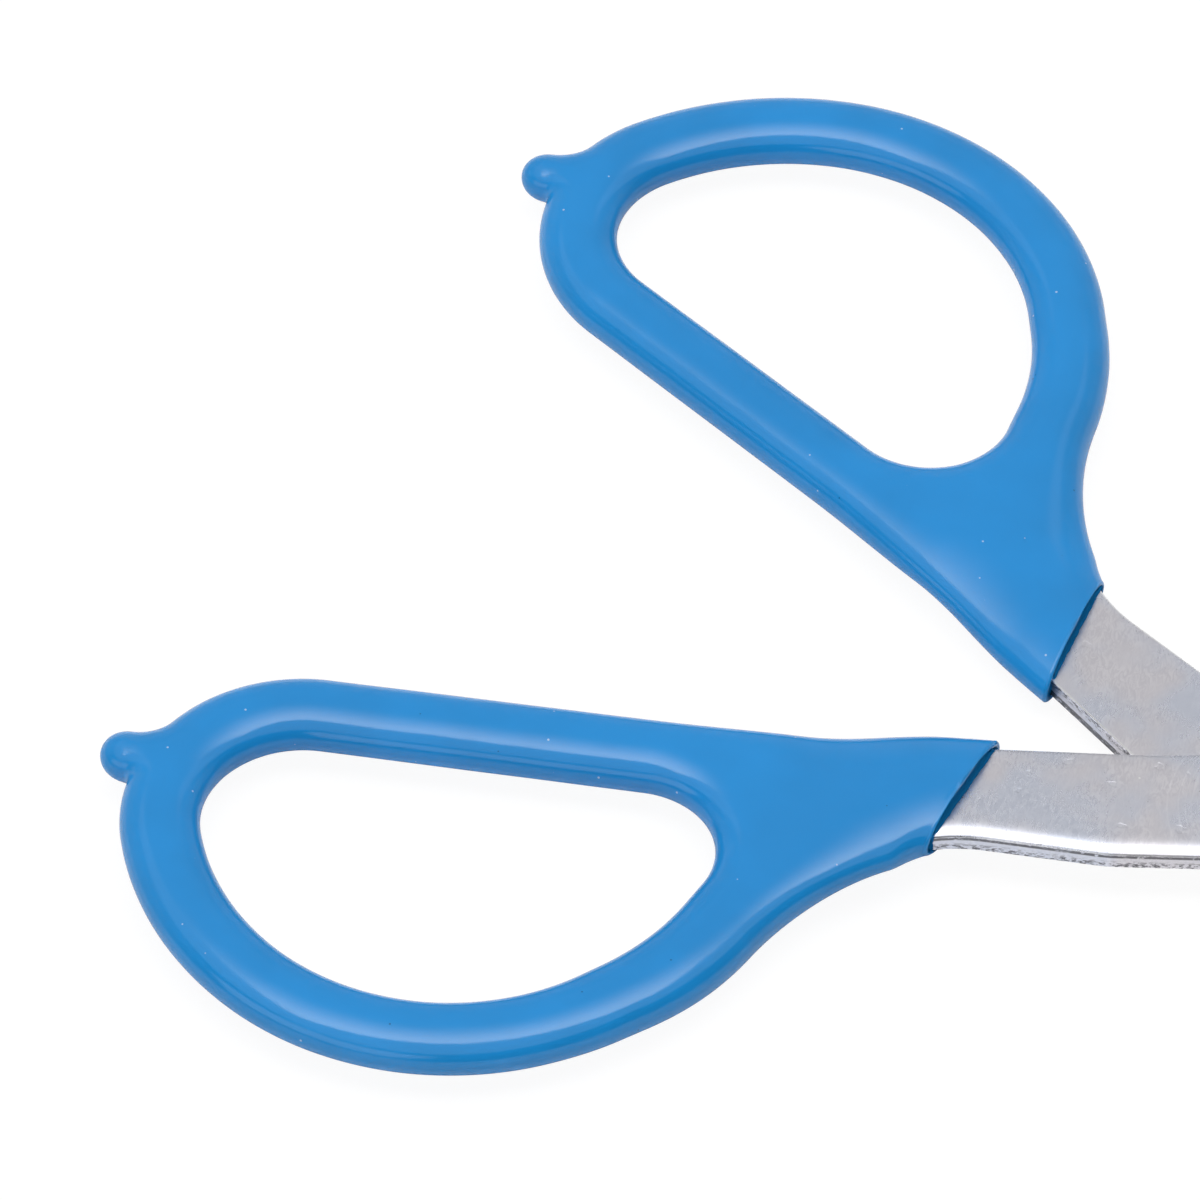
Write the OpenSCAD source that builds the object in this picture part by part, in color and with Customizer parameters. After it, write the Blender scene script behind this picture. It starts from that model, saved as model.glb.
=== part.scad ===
// Office scissors: two identical steel stampings on a pivot screw, each dipped in plastic round its finger hole.
// The origin is on the pivot axis at the underside of the nut. +X runs between the blades to the tips, +Z is up.

/* [Steel halves] */
// Thickness of the steel strip
steel_t = 2; // [1.7:0.1:2.3]
// Reach of a blade from the pivot axis to its tip
tip_reach = 84; // [74:1:94]
// Width of the steel across the pivot
boss_w = 12; // [11.4:0.1:13]
// Width of the shank where it leaves the coat
waist_w = 10; // [9:0.1:11]
// Slope of the shank to the closed blade, in degrees
shank_angle = 14; // [13:0.5:15]
// Width of the ground bevel on the outer face
bevel_w = 2.6; // [2:0.1:3]
// Thickness left at the cutting edge
edge_t = 0.2; // [0.1:0.05:0.4]
// Gap between the two blades' flat faces
blade_gap = 0.1; // [0.06:0.02:0.2]

/* [Finger loops] */
// Length of the finger hole inside the coat
finger_len = 43.8; // [40:0.2:46]
// Width of the steel ring round the finger hole
ring_w = 4.4; // [4:0.1:5]
// Thickness of the plastic coat on the steel
coat_t = 1.1; // [0.9:0.05:1.3]
// Rounding of the coat's edges
coat_edge_r = 1.6; // [1.2:0.1:1.8]
// Distance from the pivot back to the middle of the finger hole's straight side
loop_reach = 67.3; // [64:0.1:70]
// Distance from the closed blade's line down to that middle
loop_drop = 15.4; // [14:0.1:17]
// Slope of the finger hole's straight side to the closed blade, in degrees
bar_angle = 8.9; // [8:0.1:10]
// Distance from the pivot back to the mouth of the coat
mouth_reach = 25.4; // [24:0.1:27]
// Reach of the drip nub beyond the coat's rear
nub_reach = 3.7; // [2.5:0.1:4]
// Diameter of the drip nub
nub_d = 4; // [3.4:0.1:4.2]

/* [Pivot] */
// Diameter of the screw's plain shoulder
pivot_d = 5; // [4.4:0.1:5.6]
// Running clearance between the shoulder and the steel, on the radius
pivot_gap = 0.05; // [0.02:0.01:0.1]
// Diameter of the screw's head
head_d = 8.6; // [8:0.1:9.2]
// Height of the screw's head
head_h = 1.4; // [1.2:0.1:1.8]
// Width of the screwdriver slot
slot_w = 1.2; // [0.9:0.1:1.5]
// Depth of the screwdriver slot
slot_depth = 0.7; // [0.5:0.1:0.9]
// Diameter of both washers
washer_d = 10; // [9.4:0.1:10.8]
// Thickness of the flat washer under the head
washer_t = 0.5; // [0.4:0.05:0.7]
// Thickness of the dished spring washer
spring_t = 0.35; // [0.25:0.05:0.45]
// Rise of the spring washer's dish
spring_rise = 0.15; // [0.1:0.05:0.25]
// Diameter of the screw's thread
thread_d = 4; // [3.6:0.1:4.2]
// Clearance between the thread and the nut, on the radius
thread_gap = 0.03; // [0.02:0.01:0.08]
// Width of the nut across its flats
nut_w = 7; // [6.6:0.1:7.6]
// Height of the nut
nut_h = 1.4; // [1.2:0.1:1.8]

/* [Pose] */
// Angle of each half from the closed position, which is also how far open the loops were dipped
half_open = 9; // [7:0.5:11]

/* [Hidden] */
$fn = 64;

steel_colour = [0.78, 0.78, 0.79];
plastic_colour = [0.21, 0.545, 0.796];

// Largest turn between two points of an arc, in degrees
arc_step = 7.5;
// The same on the coat's rear corner, where the drip nub hangs
nub_arc_step = 2.5;
// Steps over each rounded edge of the coat, an even number
edge_steps = 2;
// Extra rows of points across the coat's flat faces
face_rows = 2;
// Steps along the coat's mouth
mouth_steps = 8;
// Overlap that carries a cutting shape past the face it cuts
over = 1;
// Reach of a cutting shape that takes everything on one side
far = 200;

spring_h = spring_t + spring_rise;
mid_z = nut_h + spring_h + steel_t + blade_gap / 2;
// The ring lies at the middle height, and the shank steps up from it to clear the other half
step_h = (steel_t + blade_gap) / 2;
// Length of the steel over which it steps
step_run = 12;
step_from = -loop_reach + 0.575 * finger_len;
step_to = step_from + step_run;
coat_half_h = steel_t / 2 + coat_t;
hole_r = pivot_d / 2 + pivot_gap;
head_z = mid_z + blade_gap / 2 + steel_t + pivot_gap + washer_t;

// Plane geometry. A corner is [x, y, radius], and a list of corners runs clockwise round its shape.
function xy(p) = [p[0], p[1]];
function unit(v) = v / norm(v);
function left_of(v) = [-v[1], v[0]];
function turn(a, b) = a[0] * b[1] - a[1] * b[0];
function spin(p, angle) = [p[0] * cos(angle) - p[1] * sin(angle), p[0] * sin(angle) + p[1] * cos(angle)];

// Corners moved outwards by d, with the radii that keep the rounded outlines parallel
function grow(corners, d) = [
    for (i = [0 : len(corners) - 1])
        let (
            count = len(corners),
            here = xy(corners[i]),
            along = unit(here - xy(corners[(i + count - 1) % count])),
            onward = unit(xy(corners[(i + 1) % count]) - here),
            moved = here + (left_of(along) + left_of(onward)) * d / (1 + along * onward)
        )
        [moved[0], moved[1], corners[i][2] - sign(turn(along, onward)) * d]
];

// Points of one rounded corner
function corner_arc(before, corner, after, largest = arc_step) =
    let (
        u = unit(xy(before) - xy(corner)),
        v = unit(xy(after) - xy(corner)),
        half = acos(u * v) / 2,
        r = corner[2],
        centre = xy(corner) + unit(u + v) * r / sin(half),
        first = xy(corner) + u * r / tan(half) - centre,
        sweep = sign(turn(v, u)) * (180 - 2 * half),
        steps = max(2, ceil(abs(sweep) / largest))
    )
    [for (k = [0 : steps]) centre + spin(first, sweep * k / steps)];

function rounded(corners) = [
    for (i = [0 : len(corners) - 1])
        let (count = len(corners))
        each corner_arc(corners[(i + count - 1) % count], corners[i], corners[(i + 1) % count])
];

// Point where a ray from the centre leaves a convex outline
function ray_out(points, centre, ray) =
    let (
        count = len(points),
        reaches = [
            for (i = [0 : count - 1])
                let (
                    outward = left_of(points[(i + 1) % count] - points[i]),
                    slope = outward * ray
                )
                if (slope > 0) (points[i] - centre) * outward / slope
        ]
    )
    centre + ray * min(reaches);

// The half in its own frame: pivot axis at the origin, closed blade along +X, finger hole towards -Y
function on_loop(x, y, r) =
    let (p = spin([x, y], bar_angle))
    [p[0] - loop_reach, p[1] - loop_drop, r];
function on_shank(x, y, r) =
    let (p = spin([x, y], shank_angle))
    [p[0], p[1], r];

// Finger hole as shares of its length: front of the bar, front, belly, rear, rear of the bar
hole_shares = [
    [0.587, 0, 0.167],
    [0.409, -0.395, 0.514],
    [0, -0.749, 0.475],
    [-0.436, -0.42, 0.537],
    [-0.587, 0, 0.196]
];
finger_hole = [for (c = hole_shares) on_loop(c[0] * finger_len, c[1] * finger_len, c[2] * finger_len)];
finger_middle = xy(on_loop(0, -0.3 * finger_len, 0));
steel_hole = grow(finger_hole, coat_t);
ring = grow(finger_hole, coat_t + ring_w);

// Rise of the bar's outer side towards its front, and its soft bend into the shank
bar_rise = 0.4;
bar_bend_r = 60;
// Places of the shank's corners back from the pivot, and their rounding
shank_inner_back = 12;
shank_outer_back = 15.3;
shank_r = 1;
// Place and rounding of the waist's corner at the mouth, and the long curve of the neck
waist_back = 28.5;
waist_r = 9;
neck_r = 26;
bar_bend = on_loop(0.69 * finger_len, coat_t + ring_w + bar_rise, bar_bend_r);
shank_inner = on_shank(-shank_inner_back, 0.52 * waist_w, shank_r);
shank_outer = on_shank(-shank_outer_back, -0.58 * waist_w, shank_r);
mouth_outer = on_shank(-waist_back, -0.457 * waist_w, waist_r);
neck = on_loop(0.669 * finger_len, -0.165 * finger_len, neck_r);

// Blade from the shoulder over the pivot, along the back to the tip, and back along the cutting edge
shoulder_x = 1;
shoulder_r = 22;
back_r = 150;
tip_back_y = 1.9;
tip_back_r = 1.5;
tip_edge_y = -0.25;
tip_edge_r = 0.5;
heel_x = 5;
heel_r = 12;
edge_heel = [heel_x, -0.32 * boss_w];
edge_tip = [tip_reach, tip_edge_y];
blade_corners = [
    [shoulder_x, 0.58 * boss_w, shoulder_r],
    [0.6 * tip_reach, 0.41 * boss_w, back_r],
    [tip_reach, tip_back_y, tip_back_r],
    [edge_tip[0], edge_tip[1], tip_edge_r],
    [edge_heel[0], edge_heel[1], heel_r]
];

ring_corners = [mouth_outer, neck, ring[1], ring[2], ring[3], ring[4], bar_bend];
half_corners = concat([shank_inner], blade_corners, [shank_outer], ring_corners);
handle_corners = concat([shank_inner, shank_outer], ring_corners);
// Place of the ring's rear corner in handle_corners
rear_corner = 7;

// Height of the steel's middle plane above the ring's, at a distance along the half
function step_at(x) = step_h * max(0, min(1, (x - step_from) / (step_to - step_from)));

// Direction in which the plastic dripped
drip = spin([-1, 0], -half_open);

// First point of a list that hangs as low as any
function lowest(points) =
    let (reach = max([for (p = points) p * drip]))
    [for (p = points) if (p * drip == reach) p][0];

// Push of the drip nub on the outline: a blunt bump under its lowest point, half as long at the faces
nub_root = lowest(handle_outline(coat_t));
function nub_push(p, height) =
    let (
        aside = turn(drip, p - nub_root) / (nub_d / 2),
        near = (p - nub_root) * drip > -nub_d,
        share = near ? exp(-pow(aside, 4)) * (1 - 0.5 * pow(height / coat_half_h, 2)) : 0
    )
    drip * nub_reach * share;

// Strip of steel with the step between the ring and the shank, as wide as the whole half
module stepped_strip() {
    half_t = steel_t / 2;
    middle = [[-far, 0], [step_from, 0], [step_to, step_h], [far, step_h]];
    rotate([90, 0, 0])
        linear_extrude(far, center = true)
            polygon(concat(
                [for (p = middle) p - [0, half_t]],
                [for (i = [3 : -1 : 0]) middle[i] + [0, half_t]]
            ));
}

module steel_blank() {
    intersection() {
        linear_extrude(far, center = true)
            difference() {
                polygon(rounded(half_corners));
                polygon(rounded(steel_hole));
            }
        stepped_strip();
    }
}

// Wedge that the grinding takes off the outer face along the cutting edge
module bevel_cut() {
    edge = edge_tip - edge_heel;
    ground_h = steel_t - edge_t;
    translate([edge_heel[0], edge_heel[1], step_h + steel_t / 2])
        rotate([0, 0, atan2(edge[1], edge[0])])
            rotate([90, 0, 90])
                linear_extrude(norm(edge) + over)
                    polygon([
                        [bevel_w * (1 + over / ground_h), over],
                        [-bevel_w * over / ground_h, -ground_h * (1 + over / ground_h)],
                        [-over * bevel_w, over]
                    ]);
}

module steel_half() {
    color(steel_colour)
        difference() {
            steel_blank();
            bevel_cut();
            cylinder(h = far, r = hole_r, center = true);
        }
}

// Point where the line through two corners crosses the mouth of the coat
function at_mouth(a, b) =
    let (run = xy(b) - xy(a))
    xy(a) + run * (mouth_reach - xy(a) * drip) / (run * drip);

// Outline of the handle grown by d: along the mouth of the coat, then round the ring and back
function handle_outline(d) =
    let (
        corners = grow(handle_corners, d),
        count = len(corners),
        inner_end = at_mouth(corners[count - 1], corners[0]),
        outer_end = at_mouth(corners[2], corners[3])
    )
    concat(
        [for (k = [0 : mouth_steps]) inner_end + (outer_end - inner_end) * k / mouth_steps],
        [
            for (i = [3 : count - 1])
                let (largest = i == rear_corner ? nub_arc_step : arc_step)
                each corner_arc(corners[i - 1], corners[i], corners[(i + 1) % count], largest)
        ]
    );

// Rows of points round the ring. A profile is a list of [inset, height] from the side to the top face.
function flipped(list) = [for (i = [len(list) - 1 : -1 : 0]) list[i]];
function at_heights(rows, heights) = [
    for (k = [0 : len(rows) - 1])
        [for (p = rows[k]) [p[0], p[1], step_at(p[0]) + heights[k]]]
];

function shell_rows(outer_d, inner_d, profile, rays, nub) =
    let (
        outer = [
            for (step = profile)
                [for (p = handle_outline(outer_d - step[0])) p + nub * nub_push(p, step[1])]
        ],
        inner = [
            for (step = profile)
                let (hole = rounded(grow(finger_hole, inner_d + step[0])))
                [for (ray = rays) ray_out(hole, finger_middle, ray)]
        ],
        flat = [
            for (k = [1 : face_rows])
                outer[edge_steps] + (inner[edge_steps] - outer[edge_steps]) * k / (face_rows + 1)
        ],
        heights = [for (step = profile) step[1]],
        flat_heights = [for (row = flat) heights[edge_steps]]
    )
    concat(
        at_heights(flipped(outer), -flipped(heights)),
        at_heights(outer, heights),
        at_heights(flat, flat_heights),
        at_heights(flipped(inner), flipped(heights)),
        at_heights(inner, -heights),
        at_heights(flipped(flat), -flat_heights)
    );

function quad(a, b, c, d) = [[a, b, c], [a, c, d]];

// The coat: a rounded skin outside, the steel's own section inside, joined round the mouth
module coat_shell() {
    angles = [for (k = [0 : edge_steps]) 90 * k / edge_steps];
    skin_profile = [
        for (a = angles) [coat_edge_r * (1 - cos(a)), coat_half_h - coat_edge_r * (1 - sin(a))]
    ];
    steel_profile = [
        for (a = angles) steel_t / 2 * [1 - min(1, cos(a) / sin(a)), min(1, (1 + sin(a) / cos(a)) / 2)]
    ];
    rays = [for (p = handle_outline(coat_t)) unit(p - finger_middle)];
    skin = shell_rows(coat_t, 0, skin_profile, rays, 1);
    cavity = shell_rows(0, coat_t, steel_profile, rays, 0);
    rows = len(skin);
    columns = len(rays);
    mouth_rows = 2 * edge_steps + 1;
    function at(r, c) = (r % rows) * columns + c % columns;
    function in_mouth(r, c) = r < mouth_rows && c < mouth_steps;
    inside = rows * columns;
    mouth_rim = concat(
        [for (c = [0 : mouth_steps - 1]) at(0, c)],
        [for (r = [0 : mouth_rows - 1]) at(r, mouth_steps)],
        [for (c = [mouth_steps : -1 : 1]) at(mouth_rows, c)],
        [for (r = [mouth_rows : -1 : 1]) at(r, 0)]
    );
    wall = [for (r = [0 : rows - 1], c = [0 : columns - 1]) if (!in_mouth(r, c)) [r, c]];
    polyhedron(
        concat([for (row = skin) each row], [for (row = cavity) each row]),
        concat(
            [
                for (w = wall)
                    let (r = w[0], c = w[1])
                    each quad(at(r, c), at(r, c + 1), at(r + 1, c + 1), at(r + 1, c))
            ],
            [
                for (w = wall)
                    let (r = w[0], c = w[1])
                    each quad(
                        inside + at(r + 1, c), inside + at(r + 1, c + 1), inside + at(r, c + 1), inside + at(r, c)
                    )
            ],
            [
                for (k = [0 : len(mouth_rim) - 1])
                    let (
                        here = mouth_rim[k],
                        next = mouth_rim[(k + 1) % len(mouth_rim)]
                    )
                    each quad(here, next, inside + next, inside + here)
            ]
        )
    );
}

module coat_half() {
    color(plastic_colour)
        coat_shell();
}

module place_upper() {
    translate([0, 0, mid_z])
        rotate([0, 0, half_open])
            children();
}

module place_lower() {
    translate([0, 0, mid_z])
        rotate([180, 0, -half_open])
            children();
}

module upper_blade() {
    place_upper() steel_half();
}

module upper_grip() {
    place_upper() coat_half();
}

module lower_blade() {
    place_lower() steel_half();
}

module lower_grip() {
    place_lower() coat_half();
}

module pivot_screw() {
    color(steel_colour) {
        difference() {
            translate([0, 0, head_z])
                cylinder(h = head_h, d = head_d);
            translate([-head_d, -slot_w / 2, head_z + head_h - slot_depth])
                cube([2 * head_d, slot_w, slot_depth + over]);
        }
        translate([0, 0, nut_h])
            cylinder(h = head_z - nut_h, d = pivot_d);
        cylinder(h = nut_h, d = thread_d);
    }
}

module head_washer() {
    color(steel_colour)
        translate([0, 0, head_z - washer_t])
            difference() {
                cylinder(h = washer_t, d = washer_d);
                translate([0, 0, -over])
                    cylinder(h = washer_t + 2 * over, r = hole_r);
            }
}

module spring_washer() {
    color(steel_colour)
        translate([0, 0, nut_h])
            rotate_extrude()
                polygon([
                    [hole_r, 0],
                    [washer_d / 2, spring_rise],
                    [washer_d / 2, spring_h],
                    [hole_r, spring_t]
                ]);
}

module pivot_nut() {
    color(steel_colour)
        difference() {
            cylinder(h = nut_h, d = nut_w / cos(30), $fn = 6);
            translate([0, 0, -over])
                cylinder(h = nut_h + 2 * over, d = thread_d + 2 * thread_gap);
        }
}

upper_blade();
upper_grip();
lower_blade();
lower_grip();
pivot_screw();
head_washer();
spring_washer();
pivot_nut();
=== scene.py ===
import math

import bpy
import numpy as np
from bpy.props import FloatProperty, FloatVectorProperty, PointerProperty
from bpy.types import Operator, Panel, PropertyGroup
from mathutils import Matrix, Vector
from mathutils.geometry import delaunay_2d_cdt


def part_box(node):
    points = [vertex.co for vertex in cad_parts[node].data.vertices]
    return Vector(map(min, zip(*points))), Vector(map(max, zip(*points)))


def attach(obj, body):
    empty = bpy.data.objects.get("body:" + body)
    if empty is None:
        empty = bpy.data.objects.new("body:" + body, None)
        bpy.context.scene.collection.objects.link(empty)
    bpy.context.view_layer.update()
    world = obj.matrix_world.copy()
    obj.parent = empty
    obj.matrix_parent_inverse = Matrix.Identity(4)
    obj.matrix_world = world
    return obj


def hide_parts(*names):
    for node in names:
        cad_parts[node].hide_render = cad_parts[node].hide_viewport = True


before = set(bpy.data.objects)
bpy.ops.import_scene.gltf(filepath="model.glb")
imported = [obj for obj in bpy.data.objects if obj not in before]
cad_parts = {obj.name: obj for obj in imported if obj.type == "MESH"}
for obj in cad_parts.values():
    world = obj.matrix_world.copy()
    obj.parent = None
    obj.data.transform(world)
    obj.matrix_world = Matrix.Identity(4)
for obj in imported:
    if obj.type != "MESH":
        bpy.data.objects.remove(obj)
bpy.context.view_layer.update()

bl_info = {
    "name": "Office scissors",
    "version": (1, 0, 0),
    "blender": (4, 5, 0),
    "location": "3D View > Sidebar > Scissors",
    "description": "Two stamped steel halves with dipped plastic finger loops on a pivot screw",
    "category": "Object",
}

MM = 0.001
SCREW_LOW, SCREW_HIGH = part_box("pivot_screw")
NUT_LOW, NUT_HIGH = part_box("pivot_nut")
WASHER_LOW, WASHER_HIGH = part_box("head_washer")
SPRING_LOW, SPRING_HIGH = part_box("spring_washer")


# Sizes and colours


def length(name, about, default, low, high):
    """A length that can be set, given here in millimetres."""
    return FloatProperty(name=name, description=about, default=default * MM, min=low * MM,
                         max=high * MM, precision=6, unit="LENGTH")


def slope(name, about, default, low, high):
    """An angle that can be set, given here in degrees."""
    return FloatProperty(name=name, description=about, default=math.radians(default), min=math.radians(low),
                         max=math.radians(high), subtype="ANGLE")


def paint(name, about, default):
    """A colour that can be set."""
    return FloatVectorProperty(name=name, description=about, default=default, min=0.0, max=1.0,
                               subtype="COLOR")


class SteelSizes(PropertyGroup):
    """Sizes of the two steel stampings."""

    thickness: length("Thickness", "Thickness of the steel strip", 2.0, 1.7, 2.3)
    tip_reach: length("Tip reach", "Pivot axis to the tip of a blade", 84.0, 74.0, 94.0)
    boss_width: length("Boss width", "Width of the steel across the pivot", 12.0, 11.4, 13.0)
    waist_width: length("Waist width", "Width of the shank where it leaves the coat", 10.0, 9.0, 11.0)
    shank_angle: slope("Shank angle", "Slope of the shank to the closed blade", 14.0, 13.0, 15.0)
    bevel_width: length("Bevel width", "Width of the ground bevel on the outer face", 2.6, 2.0, 3.0)
    edge_thickness: length("Edge thickness", "Thickness left at the cutting edge", 0.2, 0.1, 0.4)
    roll_width: length(
        "Rolled edge width", "How far the punch pulled the outer face over at its edges", 1.7, 0.4, 2.0)
    roll_depth: length(
        "Rolled edge depth", "How deep the punch pulled the outer face down at its edges", 0.5, 0.1, 0.7)


class CoatSizes(PropertyGroup):
    """Sizes of the finger loops and their dipped plastic."""

    finger_length: length("Finger hole", "Length of the finger hole inside the coat", 43.8, 40.0, 46.0)
    ring_width: length("Ring width", "Width of the steel ring round the finger hole", 4.4, 4.0, 5.0)
    thickness: length("Coat thickness", "Thickness of the plastic on the steel's sides", 1.085, 0.9, 1.3)
    crown: length(
        "Crown", "How far in from its side the coat's broad web begins to fall away", 6.0, 3.5, 8.0)
    fullness: FloatProperty(
        name="Fullness", default=2.1, min=1.7, max=4.0,
        description="Power of the arch over the coat's sides, 2 for an ellipse and more if fuller")
    swell: length("Swell", "How much thicker the coat ran on the web's sides", 0.42, 0.0, 0.6)
    crest: length(
        "Crest", "How much thicker the coat stands on the steel's faces than on its sides", 0.25, 0.0, 0.5)
    bead: length("Bead", "How much thicker the coat stands on the steel's faces at its mouth", 0.3, 0.0, 0.6)
    loop_reach: length(
        "Loop reach", "Pivot axis back to the middle of the hole's straight side", 67.3, 64.0, 70.0)
    loop_drop: length("Loop drop", "Closed blade's line down to that middle", 15.4, 14.0, 17.0)
    bar_angle: slope("Bar angle", "Slope of the hole's straight side to the closed blade", 8.9, 8.0, 10.0)
    mouth_reach: length("Mouth reach", "Pivot axis back to the mouth of the coat", 25.4, 24.0, 27.0)
    nub_reach: length("Nub reach", "How far the drip nub hangs out from the coat's rear", 3.5, 2.5, 4.0)
    nub_width: length("Nub width", "Width of the drip nub", 4.35, 3.4, 4.6)
    nub_shift: length(
        "Nub shift", "How far the drip nub hangs beside the coat's lowest point", 0.3, -1.0, 1.0)
    nub_lean: length(
        "Nub lean", "How much further one drip nub hangs over, and the other one less far", 0.25, -0.5, 0.5)
    nub_fillet: length("Nub fillet", "Radius of the soft fillet on one side of the drip nub", 2.6, 0.4, 3.0)
    nub_notch: length(
        "Nub notch", "Radius of the tighter fillet on the other side of the drip nub", 0.6, 0.3, 2.6)
    mouth_tilt: slope("Mouth tilt", "Slant of the coat's mouth to the way it dripped", -3.3, -8.0, 8.0)
    mouth_lean: slope("Mouth lean", "How much less one mouth slants, and the other one more", 1.6, -4.0, 4.0)
    half_open: slope("Half opening", "Angle of each half from the closed position", 9.0, 7.0, 11.0)


class PivotSizes(PropertyGroup):
    """Sizes of the screw, washers and nut."""

    shoulder: length("Shoulder", "Diameter of the screw's plain shoulder", 5.0, 4.4, 5.6)
    hole_gap: length(
        "Running gap", "Clearance between the shoulder and its hole, on the radius", 0.05, 0.02, 0.1)
    slot_width: length("Slot width", "Width of the screwdriver slot", 1.2, 0.9, 1.5)
    slot_depth: length("Slot depth", "Depth of the screwdriver slot", 0.7, 0.5, 0.9)
    thread: length("Thread", "Diameter of the screw's thread", 4.0, 3.6, 4.2)
    pitch: length("Thread pitch", "Distance between two turns of the thread", 0.5, 0.35, 0.7)


class Finishes(PropertyGroup):
    """Colours of the finished surfaces."""

    plastic: paint("Plastic", "Colour of the dipped plastic", (0.012, 0.240, 0.60))
    steel: paint("Steel", "Colour of the bright steel", (0.745, 0.745, 0.835))
    hardware: paint("Screw and nut", "Colour of the plated screw, washers and nut", (0.57, 0.565, 0.55))
    floor: paint("Floor", "Colour of the floor", (0.90, 0.90, 0.90))


# Plane geometry, on whole arrays of points


def spin(points, angle):
    """Points turned about the origin, all by one angle or each by its own."""
    c, s = np.cos(angle), np.sin(angle)
    points = np.asarray(points, float)
    return np.stack([points[..., 0] * c - points[..., 1] * s, points[..., 0] * s + points[..., 1] * c], -1)


def unit(vectors):
    """Vectors scaled to length one."""
    return vectors / np.linalg.norm(vectors, axis=-1, keepdims=True)


def left_of(vectors):
    """Vectors turned a quarter turn to the left."""
    return np.stack([-vectors[..., 1], vectors[..., 0]], -1)


def turn(a, b):
    """Signed area spanned by two plane vectors."""
    return a[..., 0] * b[..., 1] - a[..., 1] * b[..., 0]


def smooth(share):
    """Soft step: 3t^2 - 2t^3 of a share held between 0 and 1."""
    t = np.clip(share, 0, 1)
    return t * t * (3 - 2 * t)


def ramp(values, start, run):
    """Soft step that leaves 0 at a start and reaches 1 after a run, both in millimetres."""
    return smooth((values - start * MM) / (run * MM))


def grow(corners, distance):
    """Corners moved outwards, with the radii that keep the rounded outlines parallel."""
    here = corners[:, :2]
    along = unit(here - np.roll(here, 1, 0))
    onward = unit(np.roll(here, -1, 0) - here)
    apart = 1 + (along * onward).sum(1, keepdims=True)
    moved = here + (left_of(along) + left_of(onward)) * distance / apart
    radius = corners[:, 2] - np.sign(turn(along, onward)) * distance
    return np.column_stack([moved, radius])


def rounded_walk(corners, spacing):
    """Walk clockwise round a polygon with rounded corners, in even steps.

    Each corner [x, y, radius] gives an arc that touches both its sides, and a straight run joins it to
    the next. Returns the points, the outward normals, and how far each point may move inwards before
    neighbours cross.
    """
    here, radius = corners[:, :2], corners[:, 2]
    back = unit(np.roll(here, 1, 0) - here)
    onward = unit(np.roll(here, -1, 0) - here)
    half = np.arccos(np.clip((back * onward).sum(1), -1, 1)) / 2
    centre = here + unit(back + onward) * (radius / np.sin(half))[:, None]
    reach = (radius / np.tan(half))[:, None]
    first, last = here + back * reach, here + onward * reach
    sweep = np.sign(turn(onward, back)) * (np.pi - 2 * half)
    run = np.roll(first, -1, 0) - last
    lengths = np.column_stack([radius * np.abs(sweep), np.linalg.norm(run, axis=1)]).ravel()
    marks = np.concatenate([[0], np.cumsum(lengths)])
    count = int(round(marks[-1] / spacing))
    s = np.arange(count) * marks[-1] / count
    piece = np.clip(np.searchsorted(marks, s, side="right") - 1, 0, len(lengths) - 1)
    share = ((s - marks[piece]) / np.maximum(lengths[piece], 1e-12))[:, None]
    i, on_arc = piece // 2, (piece % 2 == 0)[:, None]
    arm = spin((first - centre)[i], sweep[i] * share[:, 0])
    points = np.where(on_arc, centre[i] + arm, last[i] + run[i] * share)
    normals = np.where(on_arc, -np.sign(sweep[i])[:, None] * arm / radius[i][:, None], left_of(unit(run))[i])
    room = np.where(on_arc[:, 0] & (sweep[i] < 0), radius[i], np.inf)
    return points, normals, room


def inside(points, loop):
    """Which points lie inside a closed loop, by counting the sides that a ray to the right crosses."""
    x, y = points[:, :1], points[:, 1:2]
    ax, ay = loop[:, 0], loop[:, 1]
    bx, by = np.roll(ax, -1), np.roll(ay, -1)
    crosses = (ay > y) != (by > y)
    with np.errstate(divide="ignore", invalid="ignore"):
        at = ax + (y - ay) * (bx - ax) / (by - ay)
    return (crosses & (x < at)).sum(1) % 2 == 1


def spread_low(values, reach):
    """Lowest value within a reach of places on either side, along a closed row."""
    shifts = np.arange(-reach, reach + 1)
    return np.min([np.roll(values, k) for k in shifts], 0)


def spread_even(values, reach):
    """Average over a reach of places on either side, along a closed row."""
    shifts = np.arange(-reach, reach + 1)
    return np.mean([np.roll(values, k) for k in shifts], 0)


# The half in its own frame: pivot axis at the origin, closed blade along +X, finger hole towards -Y

# Corners of the finger hole and their radii, as shares of its length
HOLE_CORNERS = ((0.587, 0, 0.167), (0.409, -0.395, 0.514), (0, -0.749, 0.475), (-0.436, -0.42, 0.537),
                (-0.587, 0, 0.196))
REAR_CORNER, REAR_SHIFT = 4, 0.3 * MM
HOLE_SWELL = 0.1 * MM
# Corners of the outline: where they stand, and their radii
BAR_RISE, BAR_BEND_RADIUS = 0.4 * MM, 60 * MM
NECK_RADIUS = 26 * MM
SHANK_INNER_BACK, SHANK_INNER_RADIUS = 12 * MM, 8 * MM
SHANK_OUTER_BACK, SHANK_OUTER_RADIUS = 15.3 * MM, 14 * MM
WAIST_BACK, WAIST_RADIUS = 28.5 * MM, 14 * MM
SHOULDER_X, SHOULDER_RADIUS = 1 * MM, 22 * MM
BACK_RADIUS = 150 * MM
TIP_BACK_Y, TIP_BACK_RADIUS = 1.9 * MM, 1.5 * MM
TIP_EDGE_Y, TIP_EDGE_RADIUS = -0.25 * MM, 0.5 * MM
HEEL_X, HEEL_RADIUS = 5 * MM, 12 * MM
BLADE_GAP, STEP_RUN = 0.1 * MM, 12 * MM
SIDES = {1: "upper", -1: "lower"}


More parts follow.
